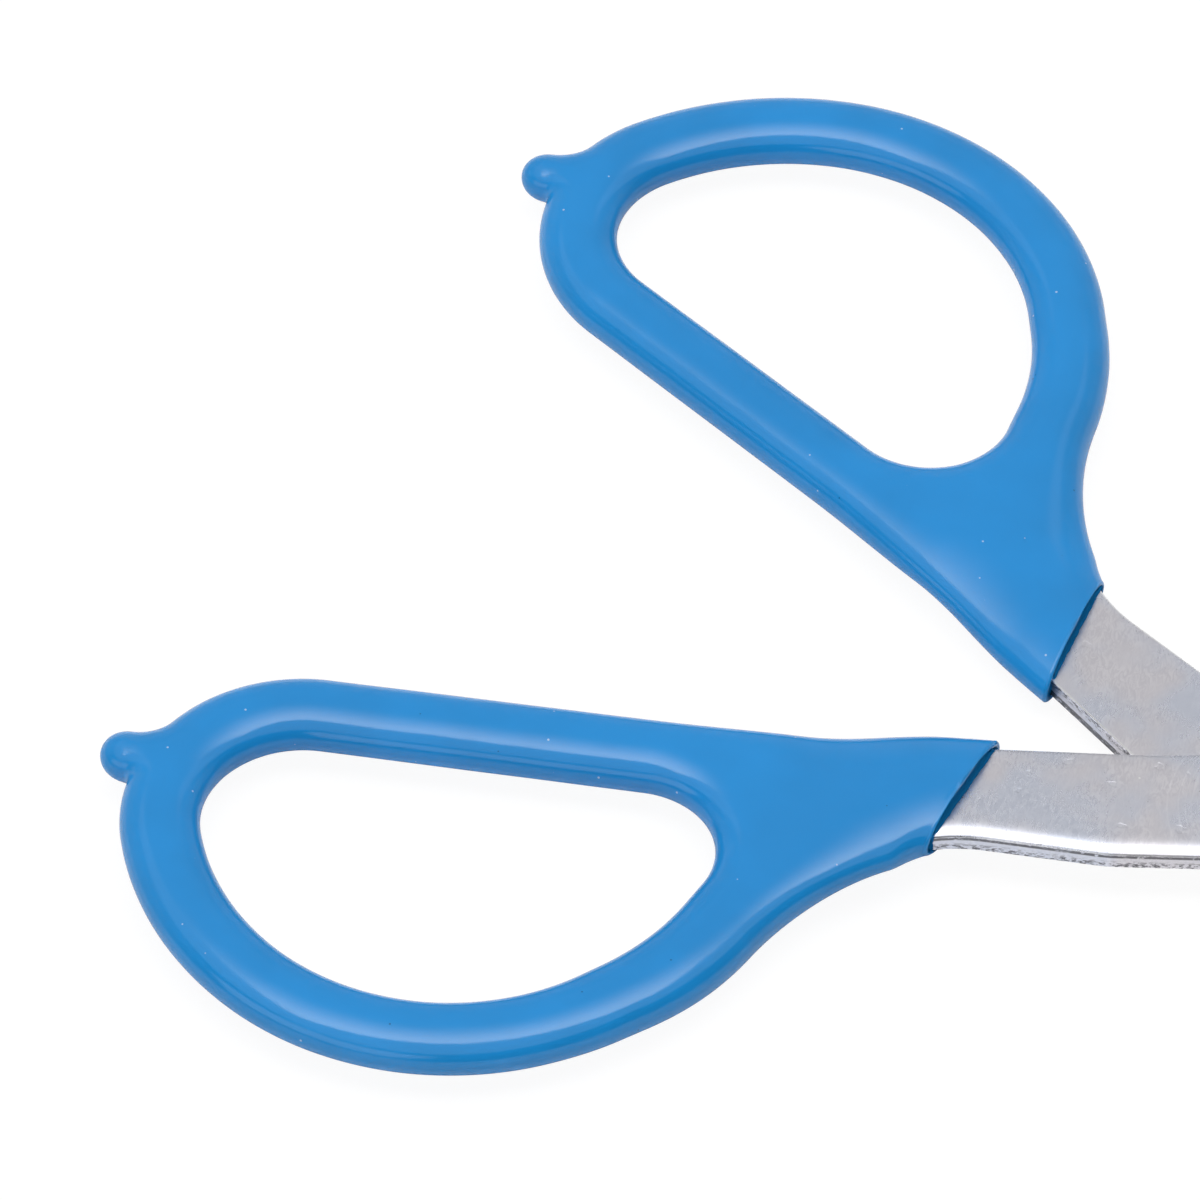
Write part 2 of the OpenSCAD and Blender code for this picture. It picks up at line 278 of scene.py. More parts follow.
class Layout:
    """The outlines of one half, worked out from the sizes."""

    def __init__(self, steel, coat):
        self.steel, self.coat = steel, coat
        long, waist, boss = coat.finger_length, steel.waist_width, steel.boss_width

        def on_loop(x, y, radius):
            return [*(spin([x, y], coat.bar_angle) - [coat.loop_reach, coat.loop_drop]), radius]

        def on_shank(x, y, radius):
            return [*spin([x, y], steel.shank_angle), radius]

        hole = np.array([on_loop(x * long, y * long, radius * long) for x, y, radius in HOLE_CORNERS])
        wall = coat.thickness + coat.ring_width
        ring = grow(hole, wall)
        self.ring_wall = wall + coat.thickness
        self.middle = np.array(on_loop(0, -0.3 * long, 0)[:2])
        self.steel_hole = grow(hole, coat.thickness)
        self.finger = grow(hole, -HOLE_SWELL)
        self.finger[REAR_CORNER, :2] += spin([REAR_SHIFT, 0], coat.bar_angle)
        self.heel = np.array([HEEL_X, -0.32 * boss])
        self.tip = np.array([steel.tip_reach, TIP_EDGE_Y])
        shank_inner = on_shank(-SHANK_INNER_BACK, 0.52 * waist, SHANK_INNER_RADIUS)
        shank_outer = on_shank(-SHANK_OUTER_BACK, -0.58 * waist, SHANK_OUTER_RADIUS)
        blade = [
            [SHOULDER_X, 0.58 * boss, SHOULDER_RADIUS],
            [0.6 * steel.tip_reach, 0.41 * boss, BACK_RADIUS],
            [steel.tip_reach, TIP_BACK_Y, TIP_BACK_RADIUS],
            [*self.tip, TIP_EDGE_RADIUS],
            [*self.heel, HEEL_RADIUS],
        ]
        loop = [
            on_shank(-WAIST_BACK, -0.457 * waist, WAIST_RADIUS),
            on_loop(0.669 * long, -0.165 * long, NECK_RADIUS),
            *ring[1:].tolist(),
            on_loop(0.69 * long, wall + BAR_RISE, BAR_BEND_RADIUS),
        ]
        self.outline = np.array([shank_inner, *blade, shank_outer, *loop])
        self.handle = np.array([shank_inner, shank_outer, *loop])
        self.drip = spin([-1, 0], -coat.half_open)
        self.throat = spin([-coat.mouth_reach, 0], steel.shank_angle)
        self.step_height = (steel.thickness + BLADE_GAP) / 2
        self.step_from = -coat.loop_reach + 0.575 * long
        self.middle_z = (SCREW_LOW.z + (SPRING_HIGH.z - SPRING_LOW.z) + (NUT_HIGH.z - NUT_LOW.z)
                         + steel.thickness + BLADE_GAP / 2)

    def step(self, x):
        """Height of the steel's middle plane: a soft step up from the ring to the shank."""
        return self.step_height * smooth((x - self.step_from) / STEP_RUN)

    def place(self, points, side):
        """A half's points in the scissors: turned open, and for the lower half, side -1, rolled over."""
        flat = spin(points[:, :2] * [1, side], side * self.coat.half_open)
        return np.column_stack([flat, side * points[:, 2] + self.middle_z])


# Meshes


def make_piece(name, points, faces, smooth_below=32.0):
    """An object from points and faces, shaded smooth where faces meet at less than an angle in degrees."""
    mesh = bpy.data.meshes.new(name)
    mesh.from_pydata(points.tolist(), [], faces)
    mesh.validate()
    mesh.polygons.foreach_set("use_smooth", np.ones(len(mesh.polygons), bool))
    mesh.set_sharp_from_angle(angle=math.radians(smooth_below))
    piece = bpy.data.objects.new(name, mesh)
    bpy.context.scene.collection.objects.link(piece)
    return piece


def note(piece, name, values):
    """Keeps one number per point on a piece, for its finish to read."""
    layer = piece.data.attributes.new(name, "FLOAT", "POINT")
    layer.data.foreach_set("value", np.asarray(values, np.float32))


def dress(piece, finish, body, slot, *nodes):
    """Gives a piece its finish and its body, and hides the solids that it stands for. The slot is not used.
    """
    piece.data.materials.append(finish)
    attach(piece, body)
    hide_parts(*nodes)


def grid_faces(rows, columns, start=0, keep=None, close_rows=True, close_columns=True):
    """Quads of a grid of points, four neighbours each, with the two directions closed or left open."""
    r, c = np.meshgrid(np.arange(rows if close_rows else rows - 1),
                       np.arange(columns if close_columns else columns - 1), indexing="ij")
    if keep is not None:
        r, c = r[keep], c[keep]
    r, c = r.ravel(), c.ravel()
    nr, nc = (r + 1) % rows, (c + 1) % columns
    return start + np.stack([r * columns + c, r * columns + nc, nr * columns + nc, nr * columns + c], 1)


def drop_unused(points, *face_sets):
    """Points that some face uses, the faces renumbered to them, and the old numbers of those points."""
    used = np.unique(np.concatenate([faces.ravel() for faces in face_sets]))
    fresh = np.full(len(points), -1)
    fresh[used] = np.arange(len(used))
    return points[used], [fresh[faces] for faces in face_sets], used


def revolve(radii, heights, count, twist=None):
    """A closed profile carried round the Z axis: point (k, j) is (r_k cos a_j, r_k sin a_j, z_k)."""
    angle = np.linspace(0, 2 * np.pi, count, endpoint=False)
    z = np.repeat(heights[:, None], count, 1)
    r = np.repeat(radii[:, None], count, 1)
    if twist is not None:
        r = r + twist(angle, z)
    points = np.stack([r * np.cos(angle), r * np.sin(angle), z], -1).reshape(-1, 3)
    return points, grid_faces(len(radii), count)


def fill_between(loop, holes, creases, spare):
    """Triangles that fill a loop and leave its holes open.

    Creases stay edges, and spare points even out the net.
    """
    sets = [loop, *holes, *creases, spare]
    points = np.concatenate(sets)
    starts = np.cumsum([0] + [len(s) for s in sets])
    edges = []
    for k, ring in enumerate([loop, *holes]):
        index = np.arange(len(ring)) + starts[k]
        edges.append(np.column_stack([index, np.roll(index, -1)]))
    for k, line in enumerate(creases):
        index = np.arange(len(line)) + starts[k + 1 + len(holes)]
        edges.append(np.column_stack([index[:-1], index[1:]]))
    flat = [Vector(p) for p in (points / MM).tolist()]
    made, _, faces, origins, _, _ = delaunay_2d_cdt(flat, np.concatenate(edges).tolist(), [], 0, 1e-7)
    faces, source = np.array(faces), np.array([origin[0] for origin in origins])
    middle = (np.array([p[:] for p in made]) * MM)[faces].mean(1)
    kept = inside(middle, loop)
    for ring in holes:
        kept &= ~inside(middle, ring)
    faces = source[faces[kept]]
    a, b, c = points[faces.T]
    clockwise = turn(b - a, c - a) < 0
    faces[clockwise] = faces[clockwise][:, ::-1]
    return points, faces


# The steel halves

# Net of spare points over the faces, in millimetres
NET_X, NET_Y, NET_SPACING = (-95, 90), (-60, 20), 2.2
WALK_SPACING, HOLE_SPACING = 0.45 * MM, 0.9 * MM
BORE_COLUMNS, CREASE_POINTS, ROLL_ROWS = 72, 110, 8
# The bevel narrows over the last millimetres before the tip, and rises out of the edge at the heel
TIP_BEVEL, TIP_BEVEL_RUN, HEEL_RUN_OUT = 0.42, 26, 13 * MM


def bore_of(pivot):
    """Radius of the hole that turns on the screw's shoulder."""
    return pivot.shoulder / 2 + pivot.hole_gap


def steel_half(layout, bore_radius):
    """One stamping: its edge section carried round the outline, and its two faces filled inside it.

    From the flat inner face the section turns a sharp corner, climbs the sheared wall and rolls over
    a quarter ellipse into the outer face. Along the cutting edge the outer face is cut down to
    edge thickness plus the ground slope times the distance from the edge. At the heel the cut runs out
    along a parabola.
    """
    steel = layout.steel
    half, burr_height = steel.thickness / 2, 0.08 * MM
    tip_width, edge_limit, margin, least_roll = 2.1 * MM, 0.3 * MM, 0.35 * MM, 0.22
    base, normal, room = rounded_walk(layout.outline, WALK_SPACING)

    # How far in the rolled edge may reach, and how far it does: less on the sides that face +Y
    blade = np.interp(base[:, 0], [0, steel.tip_reach], [steel.boss_width, tip_width])
    limit = np.where(base[:, 0] > 0, np.minimum(room, 0.36 * blade), room)
    limit = np.where((base[:, 0] > layout.heel[0]) & (normal[:, 1] < -0.5), edge_limit, limit)
    limit = spread_even(np.minimum(0.9 * spread_low(limit, 6), steel.roll_width + margin), 3)
    limit = np.minimum(limit, 0.9 * room)
    roll = limit * steel.roll_width / (steel.roll_width + margin)
    roll = roll * (least_roll + (1 - least_roll) * smooth((0.2 - normal[:, 1]) / 0.8))
    depth = steel.roll_depth * roll / steel.roll_width
    rolled = np.linspace(0, np.pi / 2, ROLL_ROWS)[:, None]
    level = 0 * roll
    insets = np.concatenate([
        [limit, limit * 0.15, np.minimum(burr_height, limit * 0.05), level],
        roll * (1 - np.cos(rolled)),
        [limit],
    ])
    heights = np.concatenate([
        [level - half, level - half, level - half, level - half + burr_height],
        half - depth * (1 - np.sin(rolled)),
        [level + half],
    ])
    rows, columns = insets.shape
    plan = base - normal * insets[:, :, None]

    # Ground bevel: how high the outer face may stand at each place
    run = np.linalg.norm(layout.tip - layout.heel)
    edge = unit(layout.tip - layout.heel)
    inward = left_of(edge)
    rise = steel.thickness - steel.edge_thickness

    def slope_width(along):
        return steel.bevel_width * (TIP_BEVEL + (1 - TIP_BEVEL) * ramp(run - along, 0, TIP_BEVEL_RUN))

    def lift(along):
        return (1 - np.clip(along / HEEL_RUN_OUT, 0, 1)) ** 2

    def bevel_width(along):
        return slope_width(along) * (1 - lift(along))

    def ground(points):
        along, across = (points - layout.heel) @ edge, (points - layout.heel) @ inward
        top = -half + steel.edge_thickness + rise * (across / slope_width(along) + lift(along))
        return np.where(along > 0, np.clip(top, -half + steel.edge_thickness, half), half)

    heights = np.minimum(heights, ground(plan.reshape(-1, 2)).reshape(rows, columns))
    heights = np.maximum(heights, -half)

    # Crease where the bevel meets the flat outer face
    along = np.linspace(0.4 * MM, run - 1.0 * MM, CREASE_POINTS)
    crease = layout.heel + edge * along[:, None] + inward * bevel_width(along)[:, None]
    crease = crease[inside(crease, plan[-1])]

    # Holes: the finger hole inside the coat and the pivot hole
    hole_plan, hole_normal, _ = rounded_walk(layout.steel_hole, HOLE_SPACING)
    around = -np.linspace(0, 2 * np.pi, BORE_COLUMNS, endpoint=False)
    bore = bore_radius * np.stack([np.cos(around), np.sin(around)], 1)

    # Spare points of the net over both faces, clear of the outline and the holes
    clear = 0.6 * MM
    net = np.stack(np.meshgrid(np.arange(*NET_X, NET_SPACING), np.arange(*NET_Y, NET_SPACING)), -1)
    net = net.reshape(-1, 2) * MM
    inner_loop, outer_loop = plan[0], plan[-1]
    kept = inside(net, inner_loop - normal * clear) & inside(net, outer_loop - normal * clear)
    for ring, out in ((hole_plan, hole_normal), (bore, unit(bore))):
        kept &= ~inside(net, ring + out * clear)
    spare = net[kept]
    off_crease = np.abs((spare - layout.heel) @ inward - bevel_width((spare - layout.heel) @ edge))
    under, under_faces = fill_between(inner_loop, [hole_plan, bore], [], spare)
    over, over_faces = fill_between(outer_loop, [hole_plan, bore], [crease], spare[off_crease > 0.5 * MM])

    wall = np.column_stack([plan.reshape(-1, 2), heights.ravel()])
    under = np.column_stack([under, np.full(len(under), -half)])
    over = np.column_stack([over, ground(over)])
    first_under, first_over = len(wall), len(wall) + len(under)
    points = np.concatenate([wall, under, over])
    points[:, 2] += layout.step(points[:, 0])

    # The faces' own outer loops are the wall's first and last rows
    same = np.arange(len(points))
    same[first_under:first_under + columns] = np.arange(columns)
    same[first_over:first_over + columns] = (rows - 1) * columns + np.arange(columns)

    def hole_wall(start, count):
        low, high = first_under + start + np.arange(count), first_over + start + np.arange(count)
        return np.stack([low, np.roll(low, -1), np.roll(high, -1), high], 1)

    quads = np.concatenate([
        grid_faces(rows, columns, close_rows=False)[:, ::-1],
        hole_wall(columns, len(hole_plan)),
        hole_wall(columns + len(hole_plan), len(bore)),
    ])
    corners = np.concatenate([same[first_under + under_faces][:, ::-1], same[first_over + over_faces]])

    # Height up the sheared wall as a share of the thickness, -0.5 on the burr and -1 on the faces
    share = np.full(len(points), -1.0)
    on_wall = insets < 0.02 * MM
    on_wall[0] = False
    share[:len(wall)] = np.where(on_wall, (heights + half) / steel.thickness, -1.0).ravel()
    share[2 * columns:3 * columns] = -0.5
    points, (quads, corners), used = drop_unused(points, quads, corners)
    return points, [*quads.tolist(), *corners.tolist()], share[used]


# The dipped coats

OUTLINE_COLUMNS, MOUTH_COLUMNS = 560, 36
SIDE_ROWS, FACE_ROWS = 27, 8
# How far in the side rows reach, from the hole as a share of the ring's width and from the outline
INNER_SHARE, OUTER_WIDTH = 0.47, (2.6 * MM, 5.0 * MM)
# Waves of the dipped skin: radians per millimetre along x and along y, start, and share of the height
WAVE_HEIGHT = 0.035 * MM
WAVES = ((0.31, 0.17, 0.4, 1), (0.12, -0.37, 1.9, 1), (0.55, 0.48, 2.6, 0.7), (0.9, -0.7, 0, 0.4))
# Changes of the coat's thickness behind the mouth: the start and the run of each, in millimetres
SWELL_ON, SWELL_OFF, HUMP_ON, HUMP_OFF = (-5, 10), (14, 12), (0, 3), (8, 10)
THIN_OFF, BEAD_OFF = (-1, 4), (0, 22)
# Changes over to the web's side at the bar, to a broader web than the ring, and along the web
BAR_SIDE, WEB_BROAD, WEB_ALONG = (-3, 6), (0, 9), (0, 15)
# How far the outline is followed past the mouth, in places of the dense walk
PAST_MOUTH = 150
# Rings of the mouth behind its lip: share of the way in, and millimetres of hollow and of film
MOUTH_RINGS = ((0.45, 0.10, 0), (0.6, 0.16, 0), (0.74, 0.15, 0.02), (0.86, 0.10, 0.04), (0.94, 0, 0.06),
               (0.985, 0, 0.16))


def unevenness(points):
    """Slow waves of a dipped skin, between -1 and 1: a sum of sines along slanted directions."""
    x, y = points[..., 0] / MM, points[..., 1] / MM
    sines = sum(share * np.sin(a * x + b * y + start) for a, b, start, share in WAVES)
    return sines / sum(share for *_, share in WAVES)


def arch(share, power):
    """Rise of a superellipse arch: 0 at its foot, and 1 and level from share 1 on."""
    return (1 - (1 - np.clip(share, 0, 1)) ** power) ** (1 / power)


def nearest(grid, line):
    """Distance from every point of a grid to a dense line, and which of the line's points is the nearest."""
    distance, which = np.empty(grid.shape[:2]), np.empty(grid.shape[:2], int)
    for k, row in enumerate(grid):
        squares = ((row[:, None] - line) ** 2).sum(-1)
        which[k] = squares.argmin(1)
        distance[k] = np.sqrt(squares.min(1))
    return distance, which


def drip_nub(coat, root, drip, side):
    """Push that carries points of the coat's outline onto the drip: most of a circle, with two fillets.

    The fillets differ, since the drop ran off to one side, which is given as 1 or -1.
    """
    ball = 0.525 * coat.nub_width
    neck = coat.nub_reach - ball

    def push(points):
        rel = points - root
        aside, out = rel @ left_of(drip), rel @ drip
        fillet = np.where(aside * side < 0, coat.nub_fillet, coat.nub_notch)
        foot = np.sqrt((ball + fillet) ** 2 - (neck - fillet) ** 2)
        wrap = np.arctan2(foot, fillet - neck)
        walked = np.clip(np.abs(aside) / foot, 0, 1) * (ball + fillet) * wrap
        on_ball = walked < ball * wrap
        turned = np.where(on_ball, walked / ball, ((ball + fillet) * wrap - walked) / fillet)
        a = np.where(on_ball, ball * np.sin(turned), foot - fillet * np.sin(turned)) * np.sign(aside)
        b = np.where(on_ball, neck + ball * np.cos(turned), fillet * (1 - np.cos(turned)))
        near = (np.abs(aside) < foot) & (out > -coat.nub_width)
        shift = left_of(drip) * (a - aside)[..., None] + drip * b[..., None]
        return points + shift * near[..., None]

    return push


def coat_shell(layout, side):
    """One dipped coat: a closed section carried round the ring, with the steel's cavity and the mouth.

    Each column of the grid joins a point of the handle's outline, or of the mouth's line, to the nearest
    point of the finger hole. The skin's height over the middle plane is half the thickness times
    a superellipse arch of the distance to the outline, times another of the distance to the hole.
    The arches grow wider on the web. The upper half has side 1 and the lower half -1.
    """
    steel, coat, drip = layout.steel, layout.coat, layout.drip
    half, lip, clear, spacing = steel.thickness / 2, 0.3 * MM, 0.01 * MM, 0.02 * MM
    dip = spin(drip, coat.mouth_tilt + side * coat.mouth_lean)
    reach = layout.throat @ dip + coat.mouth_reach - layout.throat @ drip
    around, around_normal, _ = rounded_walk(layout.handle, spacing)
    behind = around @ dip > reach
    first = np.flatnonzero(behind & ~np.roll(behind, 1))[0]
    order = (first + np.arange(behind.sum())) % len(around)
    dense, dense_normal = around[order], around_normal[order]

    # The coat ran thicker along the web's side towards the bar, and thin at the mouth on its other side
    web = unit(layout.middle - layout.throat)

    def thickness(points):
        back = points @ dip - reach
        on_bar = ramp(-turn(web, points - layout.throat), *BAR_SIDE)
        swell = ramp(back, *SWELL_ON) * (1 - ramp(back, *SWELL_OFF))
        hump = ramp(back, *HUMP_ON) * (1 - ramp(back, *HUMP_OFF)) * (0.7 + 0.5 * side)
        thin = 0.7 * (1 - ramp(back, *THIN_OFF))
        return coat.thickness + coat.swell * (swell * on_bar + (hump - thin) * (1 - on_bar))

    # Columns are even along the outline once the nub is on it
    dense_thick = thickness(dense)
    skin = dense + dense_normal * dense_thick[:, None]
    root = skin[np.argmax(skin @ drip)] + left_of(drip) * (coat.nub_shift + side * coat.nub_lean)
    nub = drip_nub(coat, root, drip, side)
    pushed = nub(skin)
    marks = np.concatenate([[0], np.cumsum(np.linalg.norm(np.diff(pushed, axis=0), axis=1))])
    places = np.arange(len(dense))
    at = np.interp(np.linspace(0, marks[-1], OUTLINE_COLUMNS), marks, places)

    def along(values):
        return np.stack([np.interp(at, places, values[:, k]) for k in range(2)], -1)

    base, normal, drop = along(dense), unit(along(dense_normal)), along(pushed)
    drop_normal = left_of(unit(np.gradient(drop, axis=0)))
    on_nub = np.linalg.norm(drop - along(skin), axis=1) > 1e-7
    thick = np.interp(at, places, dense_thick)
    from_end = np.minimum(at, len(dense) - 1 - at) * spacing
    heading = -left_of(normal)
    slide = (normal @ dip) / (heading @ dip) * ramp(-from_end, -5, 5)
    outward = normal - heading * slide[:, None]

    def to_mouth(point, ahead):
        return point + ahead * ((reach + lip - point @ dip) / (ahead @ dip))

    def with_mouth(values, over):
        return np.concatenate([values[-1] + (values[0] - values[-1]) * over, values[:-1]])

    base[0], base[-1] = to_mouth(base[0], heading[0]), to_mouth(base[-1], heading[-1])
    over = np.linspace(0, 1, MOUTH_COLUMNS + 1)[:-1]
    base, outward = with_mouth(base, over[:, None]), with_mouth(outward, over[:, None])
    thick = with_mouth(thick, over)
    drop, drop_normal = (np.concatenate([np.repeat(values[:1], MOUTH_COLUMNS, 0), values[:-1]])
                         for values in (drop, drop_normal))
    on_nub = np.concatenate([np.zeros(MOUTH_COLUMNS, bool), on_nub[:-1]])
    columns = len(base)

    # Insets of the rows over the two sides, and the finger hole's point at the end of each column.
    # These points are evened out a little, so that no two columns end in the same one.
    hole, hole_normal, _ = rounded_walk(layout.finger, 0.01 * MM)
    inner_width = INNER_SHARE * layout.ring_wall
    room = nearest((base + outward * thick[:, None])[None], hole)[0][0]
    outer_width = spread_even(np.clip(room - inner_width - 0.3 * MM, *OUTER_WIDTH), 8)
    foot = nearest((base + outward * (thick - outer_width)[:, None])[None], hole)[1][0]
    full = 2 * np.pi / len(hole)
    turned = np.unwrap(foot * full)
    even = np.sign(turned[-1] - turned[0]) * np.linspace(0, 2 * np.pi, columns, endpoint=False)
    place = (even + spread_even(turned - even, 6)) / full
    low = np.floor(place).astype(int)
    part = (place - low)[:, None]
    rim, rim_normal = (values[low % len(hole)] * (1 - part) + values[(low + 1) % len(hole)] * part
                       for values in (hole, hole_normal))
    height_angle = np.linspace(-np.pi / 2, np.pi / 2, SIDE_ROWS)[:, None]
    across = 1 - np.cos(height_angle).clip(0)
    inset, inset_in = outer_width * across, inner_width * across * np.ones(columns)

    def section(outer, inner_offsets):
        """Plan of the rows: up the outer side, in over the top, down the inner side, out below."""
        inner = rim + rim_normal * inner_offsets[..., None]
        share = (np.arange(1, FACE_ROWS + 1) / (FACE_ROWS + 1))[:, None, None]
        top = outer[-1] + (inner[-1] - outer[-1]) * share
        bottom = inner[0] + (outer[0] - inner[0]) * share
        return np.concatenate([outer, top, inner[::-1], bottom])

    def round_section(outer):
        """Values on the outer side's rows, repeated for the faces and the inner side."""
        top, bottom = np.repeat(outer[-1:], FACE_ROWS, 0), np.repeat(outer[:1], FACE_ROWS, 0)
        return np.concatenate([outer, top, outer[::-1], bottom])

    # Near the outline the rows follow the nub, and further in they go over to the plain handle
    outer = base + outward * (thick - inset)[..., None]
    sure = 0.8 * MM
    share = on_nub * (1 - smooth((inset - sure) / (outer_width - sure)))
    outer = outer + (drop - drop_normal * inset[..., None] - outer) * share[..., None]
    plan = section(outer, inset_in)

    # Distances to the near and far sides of the outline, which runs on past the mouth, and to the hole
    longer = (first - PAST_MOUTH + np.arange(behind.sum() + 2 * PAST_MOUTH)) % len(around)
    edge = nub((around + around_normal * thickness(around)[:, None])[longer])
    tail = np.argmax(edge @ drip)
    one, other = nearest(plan, edge[:tail:4])[0], nearest(plan, edge[tail::4])[0]
    near, far, inner = np.minimum(one, other), np.maximum(one, other), nearest(plan, hole[::8])[0]
    on_outline = np.r_[0, MOUTH_COLUMNS:columns]
    known = ~on_nub | (inset < sure)
    near[:SIDE_ROWS, on_outline] = np.where(known, inset, near[:SIDE_ROWS])[:, on_outline]
    inner[SIDE_ROWS + FACE_ROWS:2 * SIDE_ROWS + FACE_ROWS] = inset_in[::-1]
    narrow = layout.ring_wall / 2
    broad = ramp(near + inner - layout.ring_wall, *WEB_BROAD)
    wide = narrow + (coat.crown - narrow) * broad
    on_web = ramp(plan[..., 0] + coat.loop_reach, *WEB_ALONG)
    height = (arch(near / wide, coat.fullness) * arch(inner / (narrow + 0.8 * MM * broad), coat.fullness)
              * (1 - (1 - arch(far / wide, coat.fullness)) * on_web))
    facing = round_section(np.sign(np.round(height_angle, 9)) * np.ones(columns))
    wave = WAVE_HEIGHT * unevenness(plan)
    bead = coat.bead * (1 - ramp(plan @ dip - reach, *BEAD_OFF))
    z = facing * height * (half + coat.thickness + coat.crest + bead + wave) + layout.step(plan[..., 0])
    skin = np.dstack([plan, z])
    level = np.linspace(-1, 1, SIDE_ROWS)[:, None] * np.ones(columns)
    plan = section(base + outward * (clear + 0 * level)[..., None], coat.thickness - clear + 0 * level)
    cavity = np.dstack([plan, round_section(level) * (half + clear) + layout.step(plan[..., 0])])

    # The mouth: a rounded lip, a hollow behind it, and a film that creeps out along the steel
    rows, top = len(skin), SIDE_ROWS - 1
    rising, across = np.arange(top), np.arange(MOUTH_COLUMNS)
    rim_rows = np.concatenate([0 * across, rising, 0 * across + top, top - rising])
    rim_columns = np.concatenate([across, 0 * rising + MOUTH_COLUMNS, MOUTH_COLUMNS - across, 0 * rising])
    rim_index = rim_rows * columns + rim_columns
    size = len(rim_index)
    skin_rim, cavity_rim = (surface.reshape(-1, 3)[rim_index] for surface in (skin, cavity))
    inwards = cavity_rim - skin_rim
    depth = np.linalg.norm(inwards, axis=1, keepdims=True)
    ahead = np.array([*-dip, 0])
    lip_in = inwards / depth * np.minimum(lip, 0.5 * depth)
    bends = np.linspace(0, np.pi / 2, 5)[1:]
    rings = [skin_rim + lip_in * (1 - math.cos(bend)) + ahead * lip * math.sin(bend) for bend in bends]
    walked = np.linspace(0, 2 * np.pi, size, endpoint=False)[:, None]
    ragged = 1 + 0.12 * (np.sin(11 * walked) + np.sin(23 * walked) + np.sin(37 * walked))
    rings += [skin_rim + inwards * share + ahead * (lip + film * MM * ragged - deep * MM)
              for share, deep, film in MOUTH_RINGS]

    keep = np.ones((rows, columns), bool)
    keep[:top, :MOUTH_COLUMNS] = False
    inside_start, ring_start = rows * columns, 2 * rows * columns
    ring_index = ring_start + np.arange(len(rings) * size).reshape(-1, size)
    lines = np.concatenate([[rim_index], ring_index, [inside_start + rim_index]])
    following = np.roll(lines, -1, 1)
    faces = np.concatenate([
        grid_faces(rows, columns, 0, keep)[:, ::-1],
        grid_faces(rows, columns, inside_start, keep),
        np.stack([lines[:-1], following[:-1], following[1:], lines[1:]], -1).reshape(-1, 4)[:, ::-1],
    ])
    points = np.concatenate([skin.reshape(-1, 3), cavity.reshape(-1, 3), *rings])
    # cut marks the hollow and the film behind the lip, where the finish paints shade
    cut = np.zeros(len(points))
    cut[ring_start + len(bends) * size:] = 1
    points, (faces,), used = drop_unused(points, faces)
    return points, faces, cut[used]


# The pivot's screw, washers and nut

SCREW_COLUMNS, WASHER_COLUMNS, NUT_COLUMNS = 96, 128, 144
THREAD_ROWS = 26


def d_lobe(radius, chord, height, corner, edge):
    """Half of a slotted screw head: a rounded edge carried round a D, drawn in to its middle above and below.

    The D is an arc of the head's radius cut by the slot's side.
    """
    reach, arc_count, chord_count = math.asin(chord / radius), 49, 25
    angle = np.linspace(np.pi - reach, reach, arc_count)
    arc = np.stack([radius * np.cos(angle), radius * np.sin(angle)], -1)
    back = np.linspace(arc[-1, 0], arc[0, 0], chord_count)[1:-1]
    plan = np.concatenate([arc, np.stack([back, np.full(len(back), chord)], -1)])
    middle = np.array([0, (chord + radius) / 2 - 0.05 * radius])
    bend = np.linspace(0, np.pi / 2, 6)
    share = np.concatenate([[0.02, 0.5, 1], 1 - corner * (1 - np.cos(bend)), [0.8, 0.5, 0.02]])
    z = np.concatenate([[0, 0, 0], height - edge * (1 - np.sin(bend)), [height, height, height]])
    rows = middle + (plan - middle) * share[:, None, None]
    points = np.dstack([rows, np.repeat(z[:, None], len(plan), 1)])
    return points.reshape(-1, 3), len(share), len(plan)


def screw_mesh(sizes):
    """The shoulder screw: a stepped profile turned about the axis, under two D lobes beside the slot."""
    head, shoulder, thread = (SCREW_HIGH.x - SCREW_LOW.x) / 2, sizes.shoulder / 2, sizes.thread / 2
    low, nut_top, under = SCREW_LOW.z, NUT_HIGH.z, WASHER_HIGH.z
    floor = SCREW_HIGH.z - sizes.slot_depth
    depth, middle, sunk = 0.12 * MM, 0.02 * MM, 0.15 * MM
    core = thread - depth
    end = [(middle, low + 0.1 * MM), (thread - 0.5 * MM, low + 0.1 * MM),
           (thread - 0.32 * MM, low + 0.2 * MM)]
    threaded = [(core, z) for z in np.linspace(low + 0.45 * MM, nut_top - 0.02 * MM, THREAD_ROWS)]
    plain = [(core, nut_top), (shoulder - 0.1 * MM, nut_top), (shoulder, nut_top + 0.1 * MM),
             (shoulder, under - 0.05 * MM), (shoulder + 0.05 * MM, under)]
    rim = [(head - 0.2 * MM, under), (head - 0.05 * MM, under + 0.05 * MM), (head, under + 0.2 * MM),
           (head, floor), (middle, floor)]
    profile = np.array(end + threaded + plain + rim)
    cut = np.zeros((len(profile), 1))
    cut[len(end):len(end) + THREAD_ROWS] = 1

    def thread_form(angle, z):
        turned = z / sizes.pitch - angle / (2 * np.pi)
        return cut * depth * (1 - 2 * np.abs((turned % 1) - 0.5)) * 0.9

    def ends(start, rows, columns):
        """Faces that close the first and the last row of a grid, the first one facing down."""
        first = start + np.arange(columns)
        return [first[::-1].tolist(), (first + (rows - 1) * columns).tolist()]

    body, quads = revolve(*profile.T, SCREW_COLUMNS, thread_form)
    points, faces, start = [body], quads[:-SCREW_COLUMNS].tolist(), len(body)
    faces += ends(0, len(profile), SCREW_COLUMNS)
    for side in (1, -1):
        lobe, rows, columns = d_lobe(
            head, sizes.slot_width / 2, sizes.slot_depth + sunk, corner=0.075, edge=0.25 * MM)
        lobe = lobe * [side, side, 1] + [0, 0, floor - sunk]
        faces += grid_faces(rows, columns, start, close_rows=False)[:, ::-1].tolist()
        faces += [face[::-1] for face in ends(start, rows, columns)]
        points.append(lobe)
        start += len(lobe)
    return np.concatenate(points), faces


